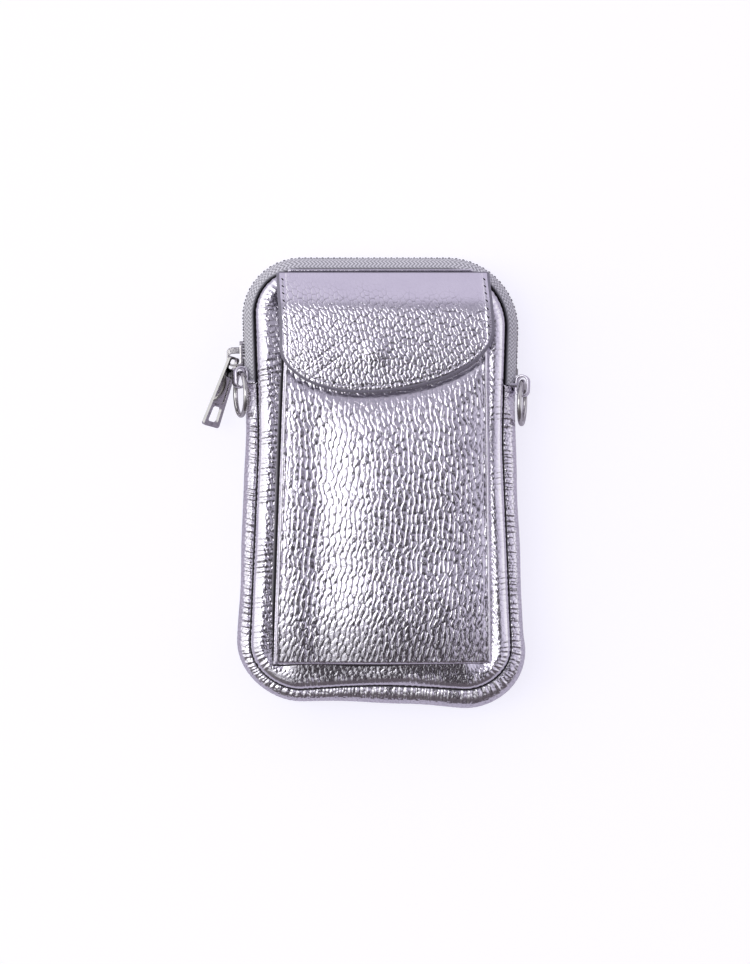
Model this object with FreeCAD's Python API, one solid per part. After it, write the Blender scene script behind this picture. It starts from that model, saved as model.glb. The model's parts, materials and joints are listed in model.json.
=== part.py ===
# Phone pouch lying on its back: leather body, curved zip, flap pocket and two strap rings.
# Millimetres. X runs across the pouch, Y towards its top, Z out of its front.
# The origin is the centre of the back panel's resting face.
import FreeCAD
import Part
import math
import os

Vector = FreeCAD.Vector

# Body outline, taken at the seams that join the panels to the gusset
seam_height = 168.0
seam_width_top = 99.8
seam_width_waist = 95.8
seam_width_bottom = 104.4
waist_drop = 67.0
waist_radius = 250.0
seam_corner_radius = 19.0
side_bulge = 5.8

# Body depth, from the back face to the front panel
back_rise = 3.5
gusset_depth = 21.5
front_rise = 3.5
panel_round_share = 0.85

# Sheet goods
leather = 1.3
lining = 0.5
lining_gap = 0.3
lining_end_setback = 4.0
cut_overrun = 2.0

# Zip, with how far it runs down each side from the top seam
zip_run_left = 44.4
zip_run_right = 45.4
tape = 0.7
coil_parting = 0.3
coil_width = 2.3
coil_height = 1.9
coil_clearance = 0.1
stop_length = 1.4
stop_width = 2.1
stop_wall = 0.6
stop_tape_overhang = 0.5
top_stop_clearance = 0.3
bottom_stop_length = 2.5
bottom_stop_rise = 5.6

# Zip slider, with its lower end a rise above the gusset's end
slider_rise = 6.5
slider_length = 10.5
slider_width = 8.2
slider_plate = 1.2
slider_tape_clearance = 0.35
slider_coil_clearance = 0.3
slider_corner_round = 2.0
neck_width = 1.8
neck_clearance = 0.4
neck_length = 3.0
neck_setback = 0.6
flange_width = 0.9
flange_height = 1.2

# Bridge on the slider, which holds the pull
bridge_width = 1.3
bridge_wall = 0.85
bridge_upper_leg = 2.6
bridge_window_length = 4.2
bridge_lower_leg = 0.65
bridge_round_share = 0.8
bridge_bar_clearance = 0.6
pull_plate_clearance = 0.1
pull_pivot_reach = 2.4

# Pull
pull_length = 29.5
pull_head_width = 5.4
pull_end_width = 9.2
pull_thickness = 1.5
pull_bar = 1.0
pull_eye_wall = 0.8
pull_eye_clearance = 0.3
pull_corner_round = 1.2
pull_window_length = 6.4
pull_window_end_wall = 2.0
pull_window_side_wall = 1.6
pull_window_round = 1.0
pull_recess_depth = 0.35
pull_recess_border = 1.5
pull_swing_deg = 21.5
pull_roll_deg = 38.0
pull_slope_deg = 4.0

# Strap rings and the leather loops that hold them
ring_inner_diameter = 15.0
ring_wire = 1.9
ring_tilt_left_deg = 18.0
ring_tilt_right_deg = 12.0
ring_rise_left = 4.0
ring_rise_right = 1.7
ring_lift_left = 6.7
ring_lift_right = 5.0
loop_width = 6.0
loop_leather = 0.9
loop_ring_clearance = 0.3
loop_drop = 3.5
loop_wall_gap = 0.65
tongue_thickness = 1.8
tongue_depth = 2.6
tongue_gap = 0.1

# Patch pocket on the front panel, set in from the seams and sewn to the right of the middle
pocket_offset = 2.3
pocket_side_margin = 8.6
pocket_top_margin = 15.0
pocket_bottom_margin = 12.5
pocket_depth = 7.0
pocket_corner_radius = 3.0
pocket_round_share = 0.36

# Flap over the pocket, from the top seam down
flap_overhang = 0.6
flap_length = 49.2
flap_corner_radius = 24.0
flap_lining = 1.0
flap_leather = 1.3
flap_gap = 0.4
flap_lead = 1.2
flap_bend_radius = 4.0
flap_root_setback = 1.3

# Magnets that hold the flap down
magnet_offset = -2.2
magnet_setback = 15.8
magnet_diameter = 12.0
magnet_thickness = 1.2
magnet_clearance = 0.1
patch_diameter = 18.0
patch_wall = 0.6

# Heights worked out from the sizes above
back_seam_z = back_rise
front_seam_z = back_seam_z + gusset_depth
middle_z = (back_seam_z + front_seam_z) / 2
front_z = front_seam_z + front_rise
pocket_z = front_z + pocket_depth
pocket_ceiling_z = pocket_z - leather
half_height = seam_height / 2
waist_y = half_height - waist_drop

# Places down the body
gusset_end_left = half_height - zip_run_left
gusset_end_right = half_height - zip_run_right
ring_left_y = gusset_end_left + ring_rise_left
ring_right_y = gusset_end_right + ring_rise_right
slider_y = gusset_end_left + slider_rise + slider_length / 2
pocket_width_top = seam_width_top - 2 * pocket_side_margin
pocket_width_bottom = seam_width_bottom - 2 * pocket_side_margin
pocket_top_y = half_height - pocket_top_margin
pocket_bottom_y = pocket_bottom_margin - half_height
flap_width = pocket_width_top + 2 * flap_overhang
flap_end_y = half_height - flap_length
magnet_y = flap_end_y + magnet_setback

# The gusset and the zip tapes share one bulging arc from seam to seam
bulge_radius = (gusset_depth ** 2 / 4 + side_bulge ** 2) / (2 * side_bulge)

tolerance = 1e-6

# The body draws in from its top and its bottom to its waist, so its side lines lean
side_lean_deg = math.degrees(math.atan2(seam_width_waist - seam_width_top, 2 * waist_drop))
lower_drop = seam_height - waist_drop
lower_lean_deg = math.degrees(math.atan2(seam_width_waist - seam_width_bottom, 2 * lower_drop))

# The round of the waist ends below the lining's ends, which lie on straight sides
waist_room = min(gusset_end_left, gusset_end_right) - lining_end_setback - waist_y
waist_bend = math.tan(math.radians(abs(side_lean_deg + lower_lean_deg)) / 2)
waist_round = min(waist_radius, waist_room / max(waist_bend, tolerance))

z_axis = Vector(0, 0, 1)
origin = Vector(0, 0, 0)


def trapezoid(middle, width_top, width_bottom, top, bottom):
    """Corners of a trapezoid about an upright middle line, anticlockwise from the lower right."""
    return [
        Vector(middle + width_bottom / 2, bottom, 0),
        Vector(middle + width_top / 2, top, 0),
        Vector(middle - width_top / 2, top, 0),
        Vector(middle - width_bottom / 2, bottom, 0),
    ]


def corner_arcs(corners, radii, offset):
    """Start, middle, end of the round at each corner, with every side moved out by offset.

    A corner that turns inward has its round on the outer side, as a negative radius.
    """
    count = len(corners)
    normals = []
    for index in range(count):
        side = (corners[(index + 1) % count] - corners[index]).normalize()
        normals.append(Vector(side.y, -side.x, 0))
    arcs = []
    for index in range(count):
        before = normals[index - 1]
        after = normals[index]
        spread = 1 + before.dot(after)
        corner = corners[index] + (before + after) * (offset / spread)
        if before.cross(after).z < 0:
            radius = offset - radii[index]
        else:
            radius = max(radii[index] + offset, 0) if radii[index] else 0
        centre = corner - (before + after) * (radius / spread)
        middle = centre + (before + after).normalize() * radius
        arcs.append((centre + before * radius, middle, centre + after * radius))
    return arcs


def rounded_wire(corners, radii, offset):
    """Closed wire of straight sides and corner arcs at z = 0."""
    arcs = corner_arcs(corners, radii, offset)
    edges = []
    for index, (start, middle, end) in enumerate(arcs):
        previous_end = arcs[index - 1][2]
        if (start - previous_end).Length > tolerance:
            edges.append(Part.makeLine(previous_end, start))
        if (end - start).Length > tolerance:
            edges.append(Part.Arc(start, middle, end).toShape())
    return Part.Wire(edges)


def prism(wire, low, high):
    """Solid that stands on a flat wire, from one height to another."""
    face = Part.Face(wire)
    face.translate(Vector(0, 0, low))
    return face.extrude(Vector(0, 0, high - low))


def edges_at(shape, z):
    """Edges that lie wholly in the plane at height z."""
    return [edge for edge in shape.Edges if all(abs(v.Z - z) < tolerance for v in edge.Vertexes)]


lower_half = trapezoid(0, seam_width_waist, seam_width_bottom, waist_y, -half_height)
upper_half = trapezoid(0, seam_width_top, seam_width_waist, half_height, waist_y)
body_corners = lower_half[:2] + upper_half[1:3] + lower_half[2:]
side_radii = [seam_corner_radius, waist_round, seam_corner_radius]
body_radii = side_radii + side_radii


def body_wire(offset):
    return rounded_wire(body_corners, body_radii, offset)


def dished_panel(seam_z, face_z):
    """Leather panel with a rounded border that turns back to its seam."""
    outward = 1 if face_z > seam_z else -1
    rise = abs(face_z - seam_z)
    inner_face_z = face_z - outward * leather
    outer = prism(body_wire(0), seam_z, face_z)
    outer = outer.makeFillet(rise * panel_round_share, edges_at(outer, face_z))
    inner = prism(body_wire(-leather), seam_z - outward * cut_overrun, inner_face_z)
    inner_round = (rise - leather) * panel_round_share
    inner = inner.makeFillet(inner_round, edges_at(inner, inner_face_z))
    return outer.cut(inner)


def side_point(side, y):
    """Point of the outline above its waist, on its right (side 1) or left (side -1)."""
    share = (y - waist_y) / waist_drop
    width = seam_width_waist + (seam_width_top - seam_width_waist) * share
    return Vector(side * width / 2, y, 0)


def side_normal(side):
    lean = math.radians(side_lean_deg)
    return Vector(side * math.cos(lean), math.sin(lean), 0)


def side_up(side):
    lean = math.radians(side_lean_deg)
    return Vector(-side * math.sin(lean), math.cos(lean), 0)


def edge_path(left_y, right_y, over_top):
    """Body outline from the left side to the right side, over the top or under the bottom."""
    rounds = corner_arcs(body_corners, body_radii, 0)
    lower_right, right_waist, upper_right, upper_left, left_waist, lower_left = rounds
    if over_top:
        arcs = [upper_left[::-1], upper_right[::-1]]
    else:
        arcs = [left_waist, lower_left, lower_right, right_waist]
    edges = []
    here = side_point(-1, left_y)
    for arc in arcs:
        edges.append(Part.makeLine(here, arc[0]))
        edges.append(Part.Arc(*arc).toShape())
        here = arc[2]
    edges.append(Part.makeLine(here, side_point(1, right_y)))
    return Part.Wire(edges)


def bulge_at(z):
    """How far the shared arc stands out from the seams at height z."""
    return side_bulge - bulge_radius + math.sqrt(bulge_radius ** 2 - (z - middle_z) ** 2)


def swept(path, left_y, outline):
    """Carry a section, given as (outward, z) lines and arcs, along a path that starts on the left."""
    start = side_point(-1, left_y)
    normal = side_normal(-1)
    edges = []
    for points in outline:
        placed = [start + normal * out + Vector(0, 0, z) for out, z in points]
        if len(placed) == 2:
            edges.append(Part.makeLine(*placed))
        else:
            edges.append(Part.Arc(*placed).toShape())
    return path.makePipeShell([Part.Wire(edges)], True, False)


def band_section(low, high, setback, thickness):
    """Section of a sheet that follows the shared arc between two heights."""
    centre = (low + high) / 2
    outer = [(bulge_at(z) - setback, z) for z in (low, centre, high)]
    inner = [(out - thickness, z) for out, z in reversed(outer)]
    return [outer, [outer[2], inner[0]], inner, [inner[2], outer[0]]]


def box_section(low, high, inner, outer):
    corners = [(outer, low), (outer, high), (inner, high), (inner, low)]
    return [[corners[i - 1], corners[i]] for i in range(len(corners))]


def block(low, high):
    """Box between two corners."""
    size = high - low
    return Part.makeBox(size.x, size.y, size.z, low)


def on_side(shape, side, y, lift):
    """Carry a shape from (outward, up, z) axes to the bulge of one side, a lift above its crest."""
    placed = shape.copy()
    if side < 0:
        placed = placed.mirror(origin, Vector(1, 0, 0))
    placed.rotate(origin, z_axis, side * side_lean_deg)
    z = middle_z + lift
    placed.translate(side_point(side, y) + side_normal(side) * bulge_at(z) + Vector(0, 0, z))
    return placed


def edges_along(shape, direction):
    """Straight edges parallel to a direction."""
    found = []
    for edge in shape.Edges:
        if len(edge.Vertexes) == 2 and edge.Curve.TypeId == "Part::GeomLine":
            if abs(edge.Curve.Direction.dot(direction)) > 1 - tolerance:
                found.append(edge)
    return found


# Body panels, gusset and lining

front_panel = dished_panel(front_seam_z, front_z)
back_panel = dished_panel(back_seam_z, 0)

gusset_path = edge_path(gusset_end_left, gusset_end_right, False)
gusset = swept(gusset_path, gusset_end_left, band_section(back_seam_z, front_seam_z, 0, leather))

lining_inset = leather + lining_gap
panel_lining_wire = body_wire(-lining_inset - front_rise * panel_round_share)
front_lining_z = front_z - lining_inset
lining_front = prism(panel_lining_wire, front_lining_z - lining, front_lining_z)
lining_back = prism(panel_lining_wire, lining_inset, lining_inset + lining)
lining_left = gusset_end_left - lining_end_setback
lining_path = edge_path(lining_left, gusset_end_right - lining_end_setback, False)
lining_section = band_section(
    back_seam_z + lining_gap, front_seam_z - lining_gap, lining_inset, lining
)
lining_gusset = swept(lining_path, lining_left, lining_section)

# Leather loops and rings, one on each side of the body

ring_radius = (ring_inner_diameter + ring_wire) / 2
ring_sag = ring_radius - math.sqrt(ring_radius ** 2 - (loop_width / 2) ** 2)
loop_bore = ring_wire + 2 * (ring_sag + loop_ring_clearance)
loop_outer_radius = loop_bore / 2 + loop_leather
ring_pivot_out = loop_wall_gap + loop_outer_radius


def stadium(radius):
    """Upright stadium: two half circles a drop apart, centred on the ring's pivot."""
    right_top = Vector(radius, 0, 0)
    left_top = Vector(-radius, 0, 0)
    right_low = Vector(radius, -loop_drop, 0)
    left_low = Vector(-radius, -loop_drop, 0)
    return Part.Wire([
        Part.Arc(right_top, Vector(0, radius, 0), left_top).toShape(),
        Part.makeLine(left_top, left_low),
        Part.Arc(left_low, Vector(0, -loop_drop - radius, 0), right_low).toShape(),
        Part.makeLine(right_low, right_top),
    ])


def tilted(shape, tilt_deg):
    """Lean a shape about its upright axis so that its lower side stands further out."""
    shape.rotate(origin, Vector(0, 1, 0), -tilt_deg)
    shape.translate(Vector(ring_pivot_out, 0, 0))
    return shape


def tongue(ring_y, gusset_end, gap):
    """Flat tail of the loop that goes into the seam between zip and gusset."""
    seam = gusset_end - ring_y
    half = tongue_thickness / 2 + gap
    reach = loop_width / 2 + gap
    low = Vector(-tongue_depth - gap, seam - half, -reach)
    high = Vector(loop_wall_gap + loop_leather / 2, seam + half, reach)
    return block(low, high)


def ring_loop(side, ring_y, gusset_end, lift, tilt_deg):
    half = loop_width / 2
    bore = prism(stadium(loop_bore / 2), -half - cut_overrun, half + cut_overrun)
    loop = tilted(prism(stadium(loop_outer_radius), -half, half).cut(bore), tilt_deg)
    tail = tongue(ring_y, gusset_end, 0).cut(tilted(bore, tilt_deg))
    return on_side(loop.fuse(tail).removeSplitter(), side, ring_y, lift)


def ring(side, ring_y, lift, tilt_deg):
    hoop = Part.makeTorus(ring_radius, ring_wire / 2)
    hoop.rotate(origin, Vector(0, 1, 0), 90)
    hoop.translate(Vector(0, -ring_radius, 0))
    return on_side(tilted(hoop, tilt_deg), side, ring_y, lift)


ring_tab_left = ring_loop(-1, ring_left_y, gusset_end_left, ring_lift_left, ring_tilt_left_deg)
ring_tab_right = ring_loop(1, ring_right_y, gusset_end_right, ring_lift_right, ring_tilt_right_deg)
ring_left = ring(-1, ring_left_y, ring_lift_left, ring_tilt_left_deg)
ring_right = ring(1, ring_right_y, ring_lift_right, ring_tilt_right_deg)
seam_slots = [
    on_side(tongue(ring_left_y, gusset_end_left, tongue_gap), -1, ring_left_y, ring_lift_left),
    on_side(tongue(ring_right_y, gusset_end_right, tongue_gap), 1, ring_right_y, ring_lift_right),
]
gusset = gusset.cut(seam_slots)

# Zip tapes, coil rows and stops

zip_path = edge_path(gusset_end_left, gusset_end_right, True)
tape_edge = neck_width / 2 + neck_clearance
front_tape_section = band_section(middle_z + tape_edge, front_seam_z, 0, tape)
back_tape_section = band_section(back_seam_z, middle_z - tape_edge, 0, tape)
zip_tape_front = swept(zip_path, gusset_end_left, front_tape_section).cut(seam_slots)
zip_tape_back = swept(zip_path, gusset_end_left, back_tape_section).cut(seam_slots)

coil_near = coil_parting / 2
coil_far = coil_near + coil_width
coil_outer = bulge_at(middle_z + coil_far) - tape - coil_clearance
coil_inner = coil_outer - coil_height
neck_low = -slider_length / 2 + neck_setback
neck_high = neck_low + neck_length
coil_left_y = slider_y + neck_high + slider_coil_clearance
bottom_stop_y = gusset_end_right + bottom_stop_rise
coil_right_y = bottom_stop_y + bottom_stop_length / 2 + coil_clearance
coil_path = edge_path(coil_left_y, coil_right_y, True)
front_coil_section = box_section(middle_z + coil_near, middle_z + coil_far, coil_inner, coil_outer)
back_coil_section = box_section(middle_z - coil_far, middle_z - coil_near, coil_inner, coil_outer)
zip_coil_front = swept(coil_path, coil_left_y, front_coil_section)
zip_coil_back = swept(coil_path, coil_left_y, back_coil_section)

coil_depth = side_bulge - coil_inner
top_stop_high = -slider_length / 2 - top_stop_clearance
stop_inner = tape_edge - stop_tape_overhang
stop_floor = -coil_depth + coil_height
stop_clamps = []
for hand in (1, -1):
    ends = sorted((hand * stop_inner, hand * (stop_inner + stop_width)))
    low = Vector(stop_floor - stop_wall, top_stop_high - stop_length, ends[0])
    high = Vector(stop_wall, top_stop_high, ends[1])
    stop_clamps.append(on_side(block(low, high), -1, slider_y, 0))
zip_top_stops = Part.makeCompound([
    clamp.cut([zip_tape_front, zip_tape_back]) for clamp in stop_clamps
])

bottom_low = Vector(-coil_depth, -bottom_stop_length / 2, -coil_far)
bottom_high = Vector(stop_wall, bottom_stop_length / 2, coil_far)
bottom_clamp = on_side(block(bottom_low, bottom_high), 1, bottom_stop_y, 0)
zip_bottom_stop = bottom_clamp.cut([zip_tape_front, zip_tape_back])

# Zip slider and its bridge, in (outward, up, z) axes about the slider's middle

half_length = slider_length / 2
half_width = slider_width / 2
top_face = slider_tape_clearance + slider_plate
floor_face = -coil_depth - slider_coil_clearance


def slider_plate_at(low, high):
    """Flat plate of the slider with rounded corners."""
    plate = block(Vector(low, -half_length, -half_width), Vector(high, half_length, half_width))
    return plate.makeFillet(slider_corner_round, edges_along(plate, Vector(1, 0, 0)))


def slider_shape():
    upper = slider_plate_at(slider_tape_clearance, top_face)
    lower = slider_plate_at(floor_face - slider_plate, floor_face)
    neck = block(
        Vector(floor_face, neck_low, -neck_width / 2),
        Vector(slider_tape_clearance, neck_high, neck_width / 2),
    )
    flange_reach = half_length - slider_corner_round
    pieces = [lower, neck]
    for hand in (1, -1):
        ends = sorted((hand * half_width, hand * (half_width - flange_width)))
        pieces.append(block(
            Vector(floor_face, -flange_reach, ends[0]),
            Vector(floor_face + flange_height, flange_reach, ends[1]),
        ))
    return upper.fuse(pieces).removeSplitter()


bridge_low = -half_length + bridge_lower_leg
window_low = bridge_low + bridge_wall
window_high = window_low + bridge_window_length
bridge_high = window_high + bridge_upper_leg
bar_radius = math.hypot(pull_bar, pull_thickness) / 2
pull_roll = math.radians(pull_roll_deg)
pull_swing = math.radians(pull_swing_deg)
head_dip = pull_head_width / 2 * math.sin(pull_roll)
bar_climb = bridge_width / 2 * math.tan(pull_roll)
pivot_out = top_face + head_dip + bar_radius + pull_plate_clearance
pivot_up = window_low + pull_pivot_reach
window_top = pivot_out + bar_radius + bar_climb + bridge_bar_clearance
bridge_top = window_top + bridge_wall


def bridge_shape():
    """Arch that stands on the slider's upper plate, along its length."""
    half = bridge_width / 2
    arch = block(Vector(top_face, bridge_low, -half), Vector(bridge_top, bridge_high, half))
    crown = [edge for edge in edges_along(arch, z_axis) if edge.Vertexes[0].X > pivot_out]
    arch = arch.makeFillet((bridge_top - pivot_out) * bridge_round_share, crown)
    window = block(
        Vector(top_face, window_low, -half - cut_overrun),
        Vector(window_top, window_high, half + cut_overrun),
    )
    inner_crown = [edge for edge in edges_along(window, z_axis) if edge.Vertexes[0].X > pivot_out]
    window = window.makeFillet((window_top - pivot_out) * bridge_round_share, inner_crown)
    return arch.cut(window)


slider_body = on_side(slider_shape(), -1, slider_y, 0)
slider_bridge = on_side(bridge_shape(), -1, slider_y, 0)


# Pull: a tapered plate with an eye for the bridge and a window near its end

def pull_wire(stations, corner):
    """Symmetric outline through (along, width) stations, with rounded corners."""
    right = [Vector(width / 2, along, 0) for along, width in stations]
    left = [Vector(-point.x, point.y, 0) for point in reversed(right)]
    points = right + left
    return rounded_wire(points, [corner] * len(points), 0)


def pull_shape():
    half = pull_thickness / 2
    head = -pull_bar / 2
    leg_reach = (pull_pivot_reach + bridge_wall) / math.cos(pull_swing)
    eye_end = leg_reach + half + pull_eye_clearance
    eye_width = pull_head_width - 2 * pull_eye_wall
    end = head + pull_length
    window_end = end - pull_window_end_wall
    window_start = window_end - pull_window_length
    taper = (pull_end_width - pull_head_width) / pull_length

    def width_at(along):
        return pull_head_width + taper * (along - head)

    plate = prism(pull_wire([(head, pull_head_width), (end, pull_end_width)], pull_corner_round),
                  -half, half)
    eye = prism(pull_wire([(head + pull_bar, eye_width), (eye_end, eye_width)], pull_window_round),
                -half - cut_overrun, half + cut_overrun)
    opening = prism(pull_wire([(along, width_at(along) - 2 * pull_window_side_wall)
                               for along in (window_start, window_end)], pull_window_round),
                    -half - cut_overrun, half + cut_overrun)
    recess_ends = (eye_end + pull_recess_border, window_start - pull_recess_border)
    recess_wire = pull_wire([(along, width_at(along) - 2 * pull_recess_border)
                             for along in recess_ends], pull_window_round)
    hollows = [
        prism(recess_wire, half - pull_recess_depth, half + cut_overrun),
        prism(recess_wire, -half - cut_overrun, pull_recess_depth - half),
    ]
    return plate.cut([eye, opening] + hollows)


def pull_placement():
    """Hang the pull down and outward from its pivot, sloped and rolled as it lies."""
    out = side_normal(-1)
    up = side_up(-1)
    slope = math.radians(pull_slope_deg)
    level = out * math.sin(pull_swing) - up * math.cos(pull_swing)
    facing = out * -math.cos(pull_swing) - up * math.sin(pull_swing)
    along = level * math.cos(slope) - z_axis * math.sin(slope)
    rise = level * math.sin(slope) + z_axis * math.cos(slope)
    across = rise * math.cos(pull_roll) - facing * math.sin(pull_roll)
    face = facing * math.cos(pull_roll) + rise * math.sin(pull_roll)
    crest = side_point(-1, slider_y) + out * side_bulge + Vector(0, 0, middle_z)
    pivot = crest + out * pivot_out + up * pivot_up
    return pivot, FreeCAD.Placement(FreeCAD.Matrix(
        across.x, along.x, face.x, pivot.x,
        across.y, along.y, face.y, pivot.y,
        across.z, along.z, face.z, pivot.z,
        0, 0, 0, 1,
    ))


pull_pivot, pull_place = pull_placement()
zip_pull = pull_shape()
zip_pull.Placement = pull_place


# Patch pocket, open along its top edge

def pocket_block(offset, top_y, top_z):
    """Solid of the pocket's outline with its upper edges rounded, except at the mouth."""
    corners = trapezoid(pocket_offset, pocket_width_top, pocket_width_bottom, top_y, pocket_bottom_y)
    radii = [pocket_corner_radius, 0, 0, pocket_corner_radius]
    solid = prism(rounded_wire(corners, radii, offset), front_z, top_z)
    edge_round = (top_z - front_z) * pocket_round_share
    mouth = max(vertex.Y for vertex in solid.Vertexes)
    rims = []
    for edge in edges_at(solid, top_z):
        if any(abs(vertex.Y - mouth) > tolerance for vertex in edge.Vertexes):
            rims.append(edge)
    return solid.makeFillet(edge_round, rims)


pocket_shell = pocket_block(0, pocket_top_y, pocket_z)
pocket_hollow = pocket_block(-leather, pocket_top_y + leather + cut_overrun, pocket_ceiling_z)
pocket_panel = pocket_shell.cut(pocket_hollow)


def disc(diameter, low, high):
    return Part.makeCylinder(diameter / 2, high - low, Vector(magnet_offset, magnet_y, low))


magnet_half = magnet_thickness / 2
magnet_seat = magnet_diameter + 2 * magnet_clearance
pocket_magnet = disc(magnet_diameter, pocket_ceiling_z - magnet_half, pocket_ceiling_z + magnet_half)
pocket_recess = disc(magnet_seat, pocket_ceiling_z - magnet_half, pocket_ceiling_z + magnet_half)
pocket_panel = pocket_panel.cut(pocket_recess)
patch_floor = pocket_ceiling_z - magnet_half - patch_wall
magnet_patch = disc(patch_diameter, patch_floor, pocket_ceiling_z).cut(pocket_recess)

# Flap: sewn down on the panel's round top edge, up past the pocket's mouth, then flat

panel_round = front_rise * panel_round_share
round_y = half_height - panel_round
round_z = front_z - panel_round
root_radius = panel_round + flap_gap
flap_under_z = pocket_z + flap_gap
flap_mouth_y = pocket_top_y + flap_lead
reach_y = flap_mouth_y - round_y
reach_z = flap_under_z - round_z
rise_angle = math.atan2(reach_z, reach_y) - math.acos(root_radius / math.hypot(reach_y, reach_z))


def flap_curve(offset):
    """Points of the flap's side view, moved out from its underside by offset, root to end."""
    away = Vector(0, math.cos(rise_angle), math.sin(rise_angle))
    climb = Vector(0, -math.sin(rise_angle), math.cos(rise_angle))
    leave = Vector(0, round_y, round_z) + away * (root_radius + offset)
    root = leave + climb * flap_root_setback
    top_z = flap_under_z + offset
    corner = leave + climb * ((top_z - leave.z) / climb.z)
    bend = flap_bend_radius + offset
    tangent = bend * math.tan((math.pi / 2 - rise_angle) / 2)
    bend_start = corner - climb * tangent
    bend_end = corner - Vector(0, tangent, 0)
    bend_angle = (rise_angle + math.pi / 2) / 2
    bend_centre = bend_end - Vector(0, 0, bend)
    bend_middle = bend_centre + Vector(0, math.cos(bend_angle), math.sin(bend_angle)) * bend
    return [
        [root, bend_start],
        [bend_start, bend_middle, bend_end],
        [bend_end, Vector(0, flap_end_y, top_z)],
    ]


def flap_layer(inner, outer):
    """One layer of the flap between two offsets, cut to the flap's outline."""
    under = flap_curve(inner)
    upper = flap_curve(outer)
    caps = [[under[-1][-1], upper[-1][-1]], [under[0][0], upper[0][0]]]
    edges = []
    for points in under + upper + caps:
        edges.append(Part.makeLine(*points) if len(points) == 2 else Part.Arc(*points).toShape())
    profile = Part.Face(Part.Wire(Part.__sortEdges__(edges)))
    profile.translate(Vector(pocket_offset - flap_width / 2, 0, 0))
    sheet = profile.extrude(Vector(flap_width, 0, 0))
    top_y = half_height + root_radius + outer + cut_overrun
    corners = trapezoid(pocket_offset, flap_width, flap_width, top_y, flap_end_y)
    radii = [flap_corner_radius, 0, 0, flap_corner_radius]
    cutter = prism(rounded_wire(corners, radii, 0), front_seam_z, flap_under_z + outer + cut_overrun)
    return sheet.common(cutter)


flap_layer_z = flap_under_z + flap_lining
flap_magnet = disc(magnet_diameter, flap_layer_z - magnet_half, flap_layer_z + magnet_half)
flap_recess = disc(magnet_seat, flap_layer_z - magnet_half, flap_layer_z + magnet_half)
flap_inner = flap_layer(0, flap_lining).cut(flap_recess)
flap_outer = flap_layer(flap_lining, flap_lining + flap_leather).cut(flap_recess)

parts = {
    "front_panel": front_panel,
    "back_panel": back_panel,
    "gusset": gusset,
    "lining_front": lining_front,
    "lining_back": lining_back,
    "lining_gusset": lining_gusset,
    "zip_tape_front": zip_tape_front,
    "zip_tape_back": zip_tape_back,
    "zip_coil_front": zip_coil_front,
    "zip_coil_back": zip_coil_back,
    "zip_top_stops": zip_top_stops,
    "zip_bottom_stop": zip_bottom_stop,
    "slider_body": slider_body,
    "slider_bridge": slider_bridge,
    "zip_pull": zip_pull,
    "ring_tab_left": ring_tab_left,
    "ring_tab_right": ring_tab_right,
    "ring_left": ring_left,
    "ring_right": ring_right,
    "pocket_panel": pocket_panel,
    "pocket_magnet": pocket_magnet,
    "magnet_patch": magnet_patch,
    "flap_outer": flap_outer,
    "flap_lining": flap_inner,
    "flap_magnet": flap_magnet,
}

os.makedirs("parts", exist_ok=True)
for name, shape in parts.items():
    shape.exportStep("parts/" + name + ".step")


def metres(point):
    return [round(value / 1000, 6) for value in point]


# Places that the joints turn about
print("flap hinge", metres(flap_curve(flap_lining + flap_leather)[0][0]))
print("slide direction", [round(value, 6) for value in side_up(-1)])
print("pull pivot", metres(pull_pivot))
ring_places = (
    (-1, ring_left_y, ring_lift_left, ring_tilt_left_deg),
    (1, ring_right_y, ring_lift_right, ring_tilt_right_deg),
)
for side, ring_y, lift, tilt_deg in ring_places:
    tilt = math.radians(tilt_deg)
    z = middle_z + lift
    out = bulge_at(z) + ring_pivot_out
    place = side_point(side, ring_y) + side_normal(side) * out + Vector(0, 0, z)
    axis = side_normal(side) * -math.sin(tilt) + z_axis * math.cos(tilt)
    print("ring pivot", metres(place), [round(value, 6) for value in axis])
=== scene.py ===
# Phone pouch in silver foil leather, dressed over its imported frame.
# Lengths are millimetres until a mesh is made, which turns them to metres.
import bmesh
import bpy
import json
import math
import numpy as np
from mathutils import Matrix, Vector

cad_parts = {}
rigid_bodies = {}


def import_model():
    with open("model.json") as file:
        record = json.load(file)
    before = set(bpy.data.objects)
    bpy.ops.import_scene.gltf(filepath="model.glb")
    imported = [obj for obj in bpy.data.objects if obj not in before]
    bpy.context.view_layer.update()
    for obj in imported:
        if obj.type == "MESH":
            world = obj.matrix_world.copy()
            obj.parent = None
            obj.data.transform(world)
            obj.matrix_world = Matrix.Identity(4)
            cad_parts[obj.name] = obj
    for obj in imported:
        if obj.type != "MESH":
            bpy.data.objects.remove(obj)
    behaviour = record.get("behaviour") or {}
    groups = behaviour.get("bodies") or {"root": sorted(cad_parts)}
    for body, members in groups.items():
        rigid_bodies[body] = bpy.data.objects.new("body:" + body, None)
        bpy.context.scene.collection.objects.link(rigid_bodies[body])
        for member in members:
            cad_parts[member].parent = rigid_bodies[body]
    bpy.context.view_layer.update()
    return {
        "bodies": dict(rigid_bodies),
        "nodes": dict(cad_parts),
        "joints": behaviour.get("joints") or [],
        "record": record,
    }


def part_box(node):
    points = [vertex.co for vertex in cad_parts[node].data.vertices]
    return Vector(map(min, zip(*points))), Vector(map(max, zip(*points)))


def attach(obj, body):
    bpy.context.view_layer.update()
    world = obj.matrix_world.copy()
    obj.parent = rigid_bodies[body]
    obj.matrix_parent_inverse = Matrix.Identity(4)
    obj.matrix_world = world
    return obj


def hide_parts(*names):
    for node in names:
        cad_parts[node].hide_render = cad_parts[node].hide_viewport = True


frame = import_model()

MM = 0.001
TURN = 2 * math.pi

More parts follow.
